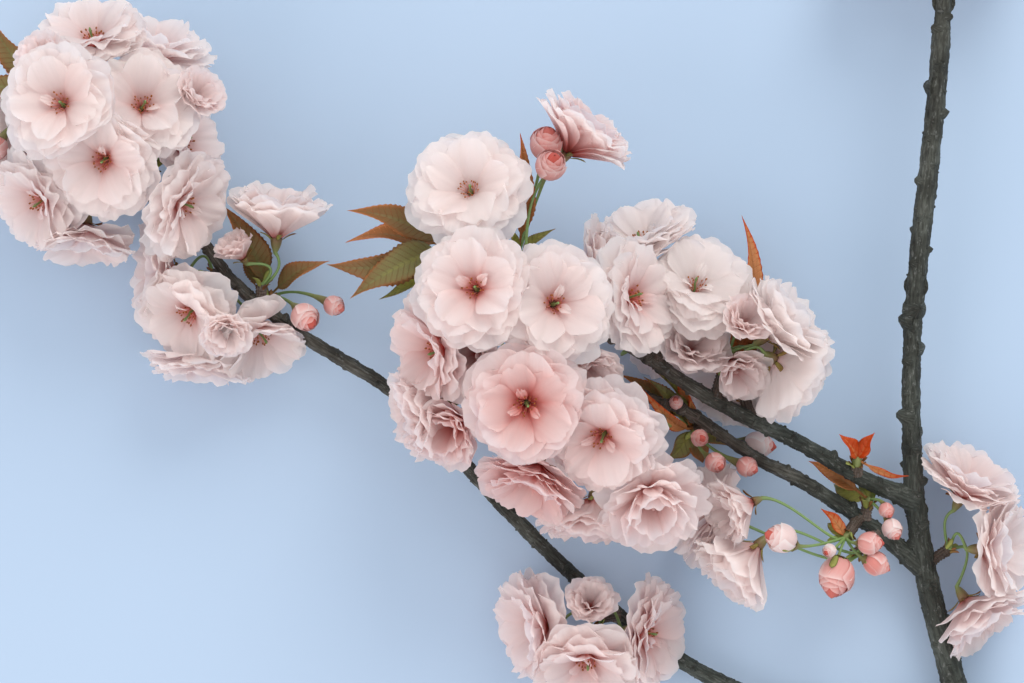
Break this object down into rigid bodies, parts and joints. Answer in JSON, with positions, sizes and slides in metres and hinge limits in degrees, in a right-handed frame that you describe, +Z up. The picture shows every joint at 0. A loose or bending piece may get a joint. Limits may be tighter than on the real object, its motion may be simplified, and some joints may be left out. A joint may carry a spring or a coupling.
{
  "type": "cut cherry blossom branch",
  "caption": "Cut branch of a double-flowered cherry, lying down: a rough dark stem with forked boughs, clusters of ruffled pale pink blooms on green stalks, buds and young bronze leaves.",
  "frame": {"origin": "centre of the bounding box, on the table that the branch lies on", "axes": "+Z up from the table, +Y from the cut foot of the stem towards its tip, +X from the boughs towards the stem"},
  "size_m": [0.4328, 0.4096, 0.1097],
  "materials": {
    "bark": "rough grey-brown bark with raised lenticels",
    "petals": "soft matt petals, pale pink, coral at the eye",
    "leaves": "young bronze-green leaves with toothed rims, satin"
  },
  "bodies": {
    "root": {"bloom_base_1": "petals", "bloom_base_2": "petals", "bloom_base_3": "petals", "bloom_far_1": "petals", "bloom_far_10": "petals", "bloom_far_2": "petals", "bloom_far_3": "petals", "bloom_far_4": "petals", "bloom_far_5": "petals", "bloom_far_6": "petals", "bloom_far_7": "petals", "bloom_far_8": "petals", "bloom_far_9": "petals", "bloom_hang_1": "petals", "bloom_hang_2": "petals", "bloom_hang_3": "petals", "bloom_hang_4": "petals", "bloom_hang_5": "petals", "bloom_low_1": "petals", "bloom_low_2": "petals", "bloom_low_3": "petals", "bloom_low_4": "petals", "bloom_low_5": "petals", "bloom_mid_1": "petals", "bloom_mid_2": "petals", "bloom_mid_3": "petals", "bloom_mid_4": "petals", "bloom_mid_5": "petals", "bloom_mid_6": "petals", "bloom_shoot_1": "petals", "bloom_shoot_2": "petals", "bloom_side_1": "petals", "bloom_side_2": "petals", "bloom_side_3": "petals", "bloom_tip_1": "petals", "bloom_tip_2": "petals", "bloom_tip_3": "petals", "bloom_tip_4": "petals", "bloom_tip_5": "petals", "bloom_tip_6": "petals", "bloom_tip_7": "petals", "bloom_tip_8": "petals", "bloom_tip_9": "petals", "bloom_top_1": "petals", "bloom_top_2": "petals", "bloom_top_3": "petals", "long_bough": "bark", "lower_bough": "bark", "sprig_crown": "leaves", "sprig_far": "leaves", "sprig_fork": "leaves", "sprig_fork_buds": "leaves", "sprig_hang": "leaves", "sprig_low": "leaves", "sprig_mid": "leaves", "sprig_shoot": "leaves", "sprig_tip": "leaves", "sprig_top": "leaves", "stem": "bark", "upper_bough": "bark"}
  },
  "joints": []
}
